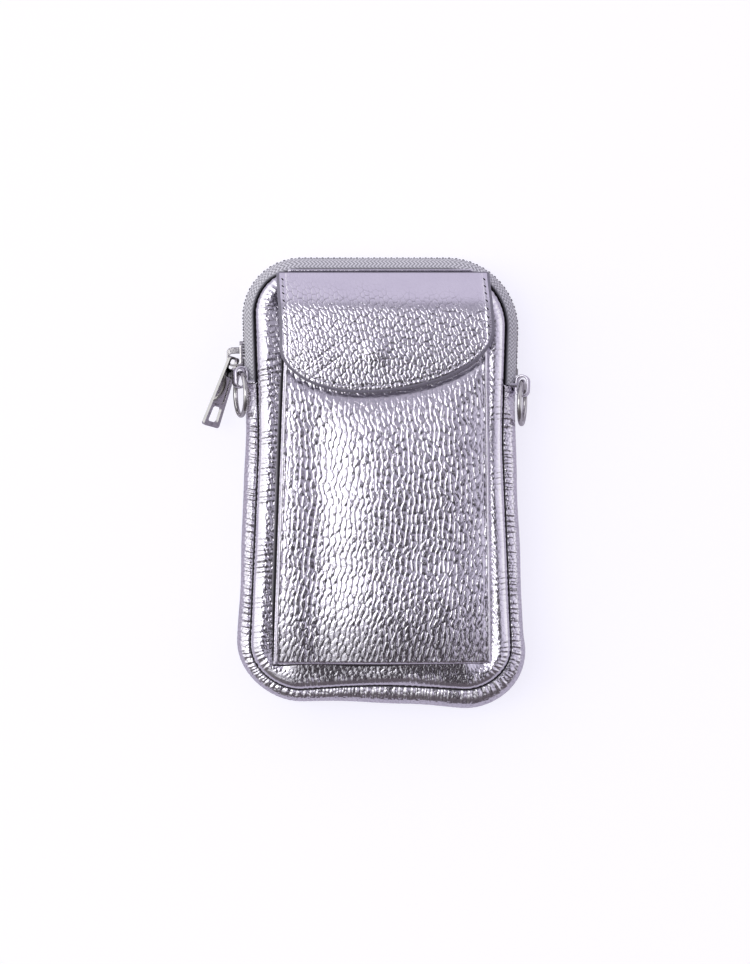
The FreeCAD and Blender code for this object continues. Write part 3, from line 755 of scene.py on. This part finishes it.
def wire_ring(name, node, side, y, lift, tilt, body):
    """Welded ring of round steel wire that hangs in its loop."""
    a = around(120)[:, None]
    b = around(28)[None]
    reach = ring_radius + ring_wire * np.cos(b)
    out = np.broadcast_to(ring_wire * np.sin(b), (120, 28))
    points = np.stack([out, reach * np.cos(a) - ring_radius, reach * np.sin(a)], -1)
    placed = on_side(leaned(points, tilt), side, y, lift)
    piece = surface(name, placed, closed_rows=True, closed_columns=True, flip=side < 0)
    dress(piece, nickel, body, "nickel", node)


# Side, height on it, lift above its crest and lean of each loop, and the height of its seam
loop_places = {
    "left": (-1, 43.6, 6.7, math.radians(18), gusset_end_left),
    "right": (1, 40.3, 5.0, math.radians(12), gusset_end_right),
}
for hand, (loop_side, loop_y, loop_lift, loop_tilt, loop_seam) in loop_places.items():
    leather_loop("loop_" + hand, "ring_tab_" + hand, loop_side, loop_y, loop_lift, loop_tilt)
    loop_tail("loop_tail_" + hand, loop_side, loop_y, loop_lift, loop_seam)
    wire_ring("wire_ring_" + hand, "ring_" + hand, loop_side, loop_y, loop_lift, loop_tilt, hand + "_ring")


# Outline of the flap

flap_half = 41.9
flap_low = 34.6


def flap_middle(y):
    """Middle of the flap at height y: it drifts to the left towards its root."""
    return 2.5 - 1.6 * ease(y, 58.0, 85.0)


def flap_end(q):
    """Height of the flap's lower edge across its width, q from -1 to 1.

    Two quarter ellipses meet left of the middle.
    """
    low = -0.25
    right = q > low
    reach = np.where(right, (q - low) / (1 - low), (q - low) / (1 + low))
    depth = np.where(right, 24.0, 17.0)
    return flap_low + depth * (1 - np.sqrt(np.clip(1 - reach ** 2, 0, 1)))


def below_flap(x, y):
    """How far a place lies below the flap's lower edge."""
    return flap_end(np.clip((x - flap_middle(y)) / flap_half, -1, 1)) - y


# Patch pocket

pocket_top = 69.0
pocket_bottom = -71.5
pocket_lip = 1.2
pocket_fold = 0.65
pocket_floor = 28.5
roof_line = smooth_curve([(-46.0, -0.2), (-33.0, 0.15), (-24.0, -0.25), (-11.0, 0.75), (-2.0, 1.1),
                          (8.0, 1.0), (19.0, 0.72), (27.0, 0.42), (36.0, -0.6), (46.0, -2.1)], 400)


def grain_across(x, y):
    """Sideways place in the grain: its lines lean one way low down and the other way high up, and wander."""
    return x - (0.005 * y - 0.00254 * y ** 2) + 0.5 * waves(y, (9.0, 14.0), 73)


def pocket_middle(y):
    """Middle of the pocket at height y: it leans a little to the right."""
    return 0.8 + 0.0112 * (y + 70.4)


def pocket_half(y):
    """Half of the pocket's width at height y: it narrows towards its mouth."""
    return 42.6 - 0.0243 * (y + 70.4)


def pocket_crown(x, y):
    """Height of the pocket's leather: a lopsided roof with a dent along its left and slow waves.

    It falls away towards its bottom, is a little lower along the flap's edge, and is flat under the flap.
    """
    below = below_flap(x, y)
    full = ease(below, -1.0, 22.0)
    roof = np.interp(x, roof_line[:, 0], roof_line[:, 1])
    dents = 0.25 * waves(x + 0.25 * y, (47.0, 71.0), 61) + 0.3 * waves(y - 0.3 * x, (53.0, 83.0), 67)
    fall = 3.0 * np.clip((-40.0 - y) / 31.5, 0, 1) ** 2
    pressed = 0.6 * np.exp(-(below / 2.2) ** 2) + 0.3 * np.exp(-(below / 6.0) ** 2)
    return 35.0 + full * (roof + dents) - fall - pressed


def edge_steps(count, wall):
    """Steps in from an edge as (inset, drop): up a wall, then over a quarter-round lip."""
    turn = np.linspace(0, math.pi / 2, count)
    inset = pocket_lip * (1 - np.cos(turn))
    drop = pocket_lip * (1 - np.sin(turn))
    levels = np.linspace(wall, pocket_lip, 6)[:-1]
    return np.concatenate([np.zeros(5), inset]), np.concatenate([levels, drop])


def pocket_grid(inner_columns, inner_rows):
    """Columns and rows of the pocket: fine over the lips, even between, and how far each has dropped."""
    inset, drop = edge_steps(7, 7.0)
    border = len(inset)
    share = np.concatenate([np.zeros(border), np.linspace(0, 1, inner_columns), np.ones(border)])
    shift = np.concatenate([inset, np.full(inner_columns, pocket_lip), 2 * pocket_lip - inset[::-1]])
    column_drop = np.concatenate([drop, np.zeros(inner_columns), drop[::-1]])
    fold = np.linspace(math.pi / 2, -math.pi / 2, 9)
    row_y = np.concatenate([
        pocket_bottom + inset,
        np.linspace(pocket_bottom + pocket_lip, pocket_top - pocket_fold, inner_rows + 2)[1:-1],
        pocket_top - pocket_fold + pocket_fold * np.cos(fold),
    ])
    row_drop = np.concatenate([drop, np.zeros(inner_rows), pocket_fold - pocket_fold * np.sin(fold)])
    y = np.broadcast_to(row_y[:, None], (len(row_y), len(share)))
    span = 2 * (pocket_half(y) - pocket_lip)
    x = pocket_middle(y) - pocket_half(y) + shift[None] + share[None] * span
    fallen = np.maximum(column_drop[None], row_drop[:, None])
    return x, y, fallen


def pocket_leather():
    """Pocket face of grained leather over a crown, with a folded lip.

    Its walls lean out at the left and below, and but for the right one they are painted dark with the shadow
    of the gap beside the pocket. The grain fades at the edges and along the flap.
    """
    x, y, fallen = pocket_grid(390, 222)
    grain = pebbles(grain_across(x, y), y, 2.1, 3.8, 71)
    from_middle = x - pocket_middle(y)
    inset = np.minimum(pocket_half(y) - np.abs(from_middle), y - pocket_bottom)
    strength = ease(inset, 0.3, 1.2) * ease(pocket_top - y, 0.3, 2.0)
    strength = strength * (1 - 0.8 * np.exp(-(below_flap(x, y) / 7.0) ** 2) * ease(x, -28.0, -14.0))
    sewn = 0.1 * np.exp(-((inset - 2.2) / 0.45) ** 2)
    z = pocket_crown(x, y) + 0.2 * grain * strength - sewn - fallen
    z = np.maximum(z, pocket_floor)
    left = ease(from_middle, 30.0, 0.0)
    leaning = ease(pocket_top - y, 0.5, 3.0)
    wall = np.maximum(fallen - pocket_lip, 0) * leaning
    flange = 0.8 * ease(fallen, 5.0, 6.6) * leaning
    x = x - left * (0.32 * wall + flange)
    y = y - (0.2 + 0.3 * left) * wall - 0.6 * flange
    # Painted shadow: the walls at the left and below are darkened to near-black for the gap beside the
    # pocket, the flange less; the grain's valleys take painted shade too
    gap_shade = ease(fallen, 1.0, 1.9) * (1 - 0.6 * ease(fallen, 5.4, 6.4)) * ease(from_middle, 42.0, 36.0)
    valley = np.maximum(valley_shade(grain, 0.6) * strength, gap_shade)
    silver_piece("pocket_leather", np.stack([x, y, z], -1), "pouch", "pocket_panel", valley=valley)


def pocket_inside():
    """Flesh side of the pocket's leather, which shows in its mouth: the same crown, a leather lower."""
    v = np.linspace(pocket_bottom + 1.6, pocket_top - pocket_fold, 60)[:, None]
    u = np.concatenate([[-1, -1, -0.998], np.linspace(-0.99, 0.99, 50), [0.998, 1, 1]])[None]
    y = np.broadcast_to(v, (60, u.size))
    x = pocket_middle(y) + (pocket_half(y) - 1.5) * u
    low = np.concatenate([[5.4, 1.6, 0.5], np.zeros(50), [0.5, 1.6, 5.4]])[None]
    z = np.maximum(pocket_crown(x, y) - 1.3 - low, pocket_floor)
    piece = surface("pocket_flesh_side", np.stack([x, y, z], -1), flip=True)
    dress(piece, flesh_side, "pouch", "silver_leather")


pocket_leather()
pocket_inside()


# Flap

flap_edge = 1.2
flap_thick = 2.3
flap_controls = [(82.8, 30.8), (82.4, 31.4), (80.0, 32.9), (75.0, 35.6), (71.5, 37.3),
                 (68.0, 38.2), (62.0, 38.5), (50.0, 38.5), (42.0, 38.2), (34.0, 38.0)]
flap_line = smooth_curve(flap_controls, 600)
flap_run = run_along(flap_line)
flap_slope = unit(np.gradient(flap_line, axis=0))


def flap_at(run):
    """Place (y, z) and outward normal (y, z) at a distance along the flap from its root."""
    place = sampled(run, flap_run, flap_line)
    slope = sampled(run, flap_run, flap_slope)
    return place[..., 0], place[..., 1], slope[..., 1], -slope[..., 0]


def flap_run_at(y):
    """Distance along the flap from its root to height y."""
    return np.interp(-y, -flap_line[:, 0], flap_run)


def flap_grid(columns, rows, margin):
    """Grid over the flap, a margin in from its edge: share of the width, x and run of each point."""
    even = np.linspace(-1, 1, columns)
    q = 0.55 * even + 0.45 * np.sin(even * math.pi / 2)
    end = flap_run_at(flap_end(q)) - margin
    run = margin + np.linspace(0, 1, rows)[:, None] * (end[None] - margin)
    y = flap_at(run)[0]
    x = flap_middle(y) + (flap_half - margin) * q[None]
    return np.broadcast_to(q[None], x.shape), x, run


def flap_points(x, run, raised):
    """Places on the flap, raised along its outward normal."""
    y, z, across, up = flap_at(run)
    return np.stack([x, y + across * raised, z + up * raised], -1)


def flap_relief(q, x, run):
    """Grain that fades out towards the root and the edge, a faint rise over the magnet and two soft creases.

    Returns the grain, its strength and the height of it all.
    """
    y = flap_at(run)[0]
    grain = pebbles(grain_across(x, y), -run, 1.75, 3.0, 83)
    inset = np.minimum(flap_half * (1 - np.abs(q)), 0.8 * (flap_run_at(flap_end(q)) - run))
    fade = run - 0.1 * (x + 25.0) + 3.0 * waves(x + 0.4 * y, (9.0, 15.0, 26.0), 77)
    strength = (0.06 + 0.94 * ease(fade, 3.0, 16.0)) * ease(inset, 0.9, 1.6)
    rise = 0.24 * np.clip(1 - ((x + 2.2) ** 2 + (y - 50.6) ** 2) / 49, 0, 1) ** 2
    slant = (y - 41.0) - 0.75 * (x + 26.0)
    crease = 0.12 * np.exp(-(slant / 0.5) ** 2) + 0.1 * np.exp(-((slant - 6.0) / 0.5) ** 2)
    crease *= np.exp(-((x + 22.0) / 7.0) ** 4)
    sewn = 0.1 * np.exp(-((inset - 2.3) / 0.45) ** 2)
    return grain, strength, 0.1 * grain * strength + rise - crease - sewn


flap_q, flap_x, flap_runs = flap_grid(380, 220, flap_edge)
flap_pebbles, pebble_strength, flap_raised = flap_relief(flap_q, flap_x, flap_runs)


def flap_leather():
    """Flap of grained leather bent over the top of the pocket, cut to a lopsided round below."""
    points = flap_points(flap_x, flap_runs, flap_raised)
    # Painted shade in the valleys of the grain
    valley = valley_shade(flap_pebbles, 0.6) * pebble_strength
    silver_piece("flap_leather", points, "flap", "flap_outer", valley=valley)


def flap_rim():
    """Painted edge: a half round from the flap's face to its back, all the way round the flap."""
    x, run, raised = (
        np.concatenate([values[:, 0], values[-1, 1:-1], values[::-1, -1], values[0, -2:0:-1]])
        for values in (flap_x, flap_runs, flap_raised)
    )
    face = flap_points(x, run, raised)
    _, _, across, up = flap_at(run)
    normal = np.stack([np.zeros_like(across), across, up], -1)
    ahead = np.roll(face, -1, 0) - np.roll(face, 1, 0)
    outward = unit(np.cross(ahead, normal))
    turn = np.linspace(math.pi / 2, -math.pi / 2, 11)[None, :, None]
    inward = normal[:, None] * (flap_thick / 2) * (np.sin(turn) - 1)
    points = face[:, None] + outward[:, None] * flap_edge * np.cos(turn) + inward
    piece = surface("flap_edge_paint", points, closed_rows=True, flip=True)
    dress(piece, edge_paint, "flap", "silver_leather")


def flap_root_strip():
    """Part of the flap below its bend: a strip that stands up out of the top seam, with a rounded edge."""
    half = 0.45
    reach = 36.5
    middle_y = 83.2
    low = 26.4
    high = 30.0
    turn = np.linspace(0, math.pi, 9)
    across = np.concatenate([[half], half * np.cos(turn), [-half]])
    z = np.concatenate([[low], high + half * np.sin(turn), [low]])[None]
    x = reach * np.concatenate([[-1], np.linspace(-1, 1, 60), [1]])[:, None]
    thick = np.concatenate([[0.02], np.ones(60), [0.02]])[:, None]
    points = np.stack(np.broadcast_arrays(x, middle_y + thick * across[None], z), -1)
    silver_piece("flap_root_strip", points, "pouch", closed_columns=True, flip=True, valley=0.0)


def flap_back():
    """Lining cloth on the back of the flap."""
    q, x, run = flap_grid(90, 70, flap_edge)
    piece = surface("flap_back_cloth", flap_points(x, run, -flap_thick), flip=True)
    dress(piece, lining_taffeta, "flap", "lining_cloth", "flap_lining")


flap_leather()
flap_rim()
flap_root_strip()
flap_back()


# Stitches

upward = np.array([0, 0, 1.0])


def along_line(line, pitch):
    """Places at an even pitch along a line of points, with the direction of the line there."""
    length = run_along(line)
    at = np.arange(pitch, length[-1] - pitch / 2, pitch)
    place = sampled(at, length, line)
    return place, unit(sampled(at + 0.2, length, line) - place)


def seeds(name, place, ahead, normal, length, width, height, slant):
    """Low ovals like seeds, turned by a slant from the line that they follow."""
    side = np.cross(normal, ahead)
    long = ahead * math.cos(slant) + side * math.sin(slant)
    short = side * math.cos(slant) - ahead * math.sin(slant)
    angle = around(8)
    reach = np.array([1.0, 0.8, 0.45, 0.02])[:, None]
    a = length / 2 * reach * np.cos(angle)[None]
    b = width / 2 * reach * np.sin(angle)[None]
    c = np.broadcast_to(height * (1 - reach ** 2), a.shape)
    parts = [values[None, :, :, None] for values in (a, b, c)]
    frames = [values[:, None, None, :] for values in (long, short, normal)]
    points = place[:, None, None, :] + sum(part * frame for part, frame in zip(parts, frames))
    return repeated(name, points)


def stitch_line(name, line, normal, pitch, body):
    """Row of machine stitches: slanted needle holes, dark with painted shade, with the thread between them.
    """
    place, ahead = along_line(line, pitch)
    normal = np.broadcast_to(normal, place.shape)
    # The holes are small raised ovals in a near-black material: painted shade where the needle went through
    holes = seeds(name + "_holes", place, ahead, normal, 1.5, 0.6, 0.12, math.radians(35))
    dress(holes, needle_shade, body, "silver_leather")
    middle = (place[1:] + place[:-1]) / 2
    length = pitch * 0.62
    threads = seeds(name + "_thread", middle, ahead[1:], normal[1:], length, 0.5, 0.2, math.radians(12))
    dress(threads, sewing_thread, body, "silver_leather")


def flap_stitches():
    """Three rows: down the left, along the lower curve and up the right, a little in from the flap's edge."""
    side_run = np.linspace(1.0, flap_run_at(53.0), 60)
    for name, side in (("flap_seam_left", -1), ("flap_seam_right", 1)):
        y = flap_at(side_run)[0]
        x = flap_middle(y) + side * (flap_half - 2.4)
        line = flap_points(x, side_run, 0.06)
        _, _, across, up = flap_at(np.array([flap_run_at(70.0)]))
        stitch_line(name, line, np.array([0, across[0], up[0]]), 3.3, "flap")
    q = np.sin(np.linspace(-1, 1, 200) * math.pi / 2 * 0.93)
    run = flap_run_at(flap_end(q))
    x = flap_middle(flap_end(q)) + flap_half * q
    line = flap_points(x, run, 0.06)
    inward = unit(np.cross(upward, np.gradient(line, axis=0)))
    stitch_line("flap_seam_low", line + 2.8 * inward, upward, 3.8, "flap")


def pocket_stitches():
    """Row of stitches round three sides of the pocket, a little in from its lip."""
    inset = 2.3
    down = np.linspace(pocket_top - 4, pocket_bottom + inset, 80)
    left = np.stack([pocket_middle(down) - pocket_half(down) + inset, down], 1)
    right = np.stack([pocket_middle(down) + pocket_half(down) - inset, down], 1)[::-1]
    low = np.linspace(left[-1], right[0], 60)
    for name, line in (("pocket_seam_left", left), ("pocket_seam_low", low), ("pocket_seam_right", right)):
        z = pocket_crown(line[:, 0], line[:, 1]) - 0.12
        stitch_line(name, np.column_stack([line, z]), upward, 3.6, "pouch")


flap_stitches()
pocket_stitches()


# Lining

def panel_lining(name, node, z, flip):
    """Lining cloth behind a panel: rings of the outline that shrink to the middle, with faint slack."""
    steps = np.linspace(0, outline_total, 161)[:-1]
    rim = carried(steps, np.broadcast_to(np.array([-4.6, z]), (160, 1, 2)))
    shares = np.linspace(1, 0.02, 16)
    points = shrunk(rim, shares)
    points[..., 2] += 0.15 * waves(points[..., 0] + points[..., 1], (31.0, 47.0), 91) * (1 - shares[None])
    piece = surface(name, points, closed_rows=True, flip=flip)
    dress(piece, lining_taffeta, "pouch", "lining_cloth", node)


def gusset_lining():
    """Lining cloth behind the gusset: one band along the sides and the bottom."""
    start = outline_distance(-1, gusset_end_left - 4)
    end = outline_distance(1, gusset_end_right - 4)
    steps = np.linspace(start, end, 260)
    z = np.linspace(front_seam_z - 0.35, back_seam_z + 0.35, 16)
    section = np.broadcast_to(np.stack([bulge_at(z) - 1.85, z], -1), (260, 16, 2))
    piece = surface("gusset_cloth", carried(steps, section), flip=True)
    dress(piece, lining_taffeta, "pouch", "lining_cloth", "lining_gusset")


def magnet_cover():
    """Round patch of cloth over the pocket's magnet: flat over it, down to the leather at its rim."""
    low, high = (np.array(corner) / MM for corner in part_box("magnet_patch"))
    middle = (low + high) / 2
    radius = (high[0] - low[0]) / 2
    r = np.linspace(0.02, 1, 14)[:, None]
    angle = around(48)[None]
    z = low[2] + (high[2] - low[2] - 0.1) * ease(r, 0.72, 0.98)
    x = middle[0] + radius * r * np.cos(angle)
    y = middle[1] + radius * r * np.sin(angle)
    points = np.stack([x, y, np.broadcast_to(z, x.shape)], -1)
    piece = surface("magnet_cloth", points, closed_columns=True, flip=True)
    dress(piece, lining_taffeta, "pouch", "lining_cloth", "magnet_patch")


panel_lining("front_cloth", "lining_front", 26.65, True)
panel_lining("back_cloth", "lining_back", 1.85, False)
gusset_lining()
magnet_cover()


# Metal

def polished(name, node, body, width):
    """Copy of a metal solid with its flat faces whole and its edges rounded."""
    copy = bmesh.new()
    copy.from_mesh(frame["nodes"][node].data)
    bmesh.ops.remove_doubles(copy, verts=copy.verts, dist=1e-6)
    bmesh.ops.dissolve_limit(copy, angle_limit=math.radians(0.5), verts=copy.verts, edges=copy.edges)
    mesh = bpy.data.meshes.new(name)
    copy.to_mesh(mesh)
    copy.free()
    mesh.polygons.foreach_set("use_smooth", np.ones(len(mesh.polygons), bool))
    piece = linked(name, mesh)
    rounded = piece.modifiers.new("rounded_edges", "BEVEL")
    rounded.width = width * MM
    rounded.segments = 3
    rounded.limit_method = "ANGLE"
    rounded.angle_limit = math.radians(30)
    even = piece.modifiers.new("even_shading", "WEIGHTED_NORMAL")
    even.keep_sharp = True
    dress(piece, nickel, body, "nickel", node)


polished("slider_cast", "slider_body", "slider", 0.25)
polished("slider_bail", "slider_bridge", "slider", 0.25)
polished("pull_tab", "zip_pull", "pull", 0.22)
polished("top_stops", "zip_top_stops", "pouch", 0.15)
polished("bottom_stop", "zip_bottom_stop", "pouch", 0.15)

for magnet in ("pocket_magnet", "flap_magnet"):
    plate = frame["nodes"][magnet].data.materials
    plate.clear()
    plate.append(magnet_plate)


# Floor, light and camera

def studio_floor():
    """White paper sweep: it shows white to the camera, keeps the soft shadow, and shows mirrors a painted
    lavender grey that stands for its own shade.
    """
    half = 15000.0
    z = -0.05
    corners = np.array([[-half, -half, z], [half, -half, z], [half, half, z], [-half, half, z]])
    floor = mesh_object("paper_floor", corners, np.array([[0, 1, 2, 3]]), {})
    material = bpy.data.materials.new("white_paper")
    tree = bare_tree(material)
    path = add_node(tree, "LightPath")
    # Painted shade in reflections: to glossy rays the floor is mostly a glow of a fixed lavender grey, darker
    # than it shows the camera
    settings = {0: path.outputs["Is Glossy Ray"], 1: 0.9}
    mirrored = add_node(tree, "Math", settings, operation="MULTIPLY").outputs[0]
    settings = {0: path.outputs["Is Camera Ray"], 1: 0.6, 2: mirrored}
    share = add_node(tree, "Math", settings, operation="MULTIPLY_ADD").outputs[0]
    paper = add_node(tree, "BsdfDiffuse", {"Color": linear("#F4F1F6")})
    settings = {0: path.outputs["Is Glossy Ray"], 6: (1.215, 1.205, 1.32, 1.0), 7: linear("#BDB7C9")}
    shade = add_node(tree, "Mix", settings, data_type="RGBA").outputs[2]
    glow = add_node(tree, "Emission", {"Color": shade, "Strength": 1.0})
    mixed = add_node(tree, "MixShader", {0: share, 1: paper.outputs[0], 2: glow.outputs[0]})
    add_node(tree, "OutputMaterial", {"Surface": mixed.outputs[0]})
    floor.data.materials.append(material)


def studio_world():
    """Room light by direction: a bright wall at the left, lavender ones elsewhere, pale far to the right.

    It is dark towards the pouch's bottom. Overhead it is dark, but pale at both sides and towards the top.
    """
    world = bpy.data.worlds.new("studio_room")
    bpy.context.scene.world = world
    tree = bare_tree(world)
    direction = add_node(tree, "TexCoord").outputs["Generated"]
    parts = add_node(tree, "SeparateXYZ", {0: direction}).outputs

    def turned(part, start, end, most, near, far):
        """Mix from near to far, up to a most, as one part of the direction goes from start to end."""
        settings = {"Value": parts[part], "From Min": start, "From Max": end, "To Max": most}
        share = add_node(tree, "MapRange", settings, interpolation_type="SMOOTHSTEP").outputs[0]
        return add_node(tree, "Mix", {0: share, 6: near, 7: far}, data_type="RGBA").outputs[2]

    walls = turned(0, 0.1, 0.8, 1.0, linear("#D6D0E3"), linear("#F1EDFB"))
    walls = turned(0, 0.8, 0.97, 1.0, walls, (1.1, 1.1, 1.12, 1.0))
    walls = turned(0, -0.05, -0.6, 1.0, walls, (1.25, 1.25, 1.27, 1.0))
    walls = turned(1, -0.1, -0.6, 0.9, walls, linear("#4C4445"))
    ceiling = turned(0, 0.2, 0.42, 1.0, linear("#332F31"), linear("#E2DDEE"))
    ceiling = turned(0, -0.05, -0.2, 1.0, ceiling, (0.91, 0.91, 0.94, 1.0))
    ceiling = turned(1, -0.05, 0.1, 0.8, ceiling, linear("#BAB6C6"))
    room = turned(2, 0.6, 0.92, 0.96, walls, ceiling)
    background = add_node(tree, "Background", {"Color": room, "Strength": 1.0})
    add_node(tree, "OutputWorld", {"Surface": background.outputs[0]})


def softbox(name, place, width, height, power, tint):
    """Area lamp that looks at the middle of the pouch."""
    lamp = bpy.data.lights.new(name, "AREA")
    lamp.shape = "RECTANGLE"
    lamp.size = width
    lamp.size_y = height
    lamp.energy = power
    lamp.color = linear(tint)[:3]
    holder = linked(name, lamp)
    holder.location = place
    holder.rotation_euler = (-Vector(place)).to_track_quat("-Z", "Y").to_euler()


def overhead_camera():
    """Camera straight above the pouch, its top towards the top of the picture."""
    lens = bpy.data.cameras.new("overhead")
    lens.sensor_fit = "VERTICAL"
    lens.sensor_height = 36.0
    lens.lens = 69.7
    holder = linked("overhead", lens)
    holder.location = (-0.0022, 0.0, 0.764)
    bpy.context.scene.camera = holder


studio_floor()
studio_world()
softbox("key_softbox", (-0.6, 0.1, 1.25), 0.6, 0.9, 3.6, "#FFFFFF")
overhead_camera()
bpy.context.scene.view_settings.view_transform = "Standard"
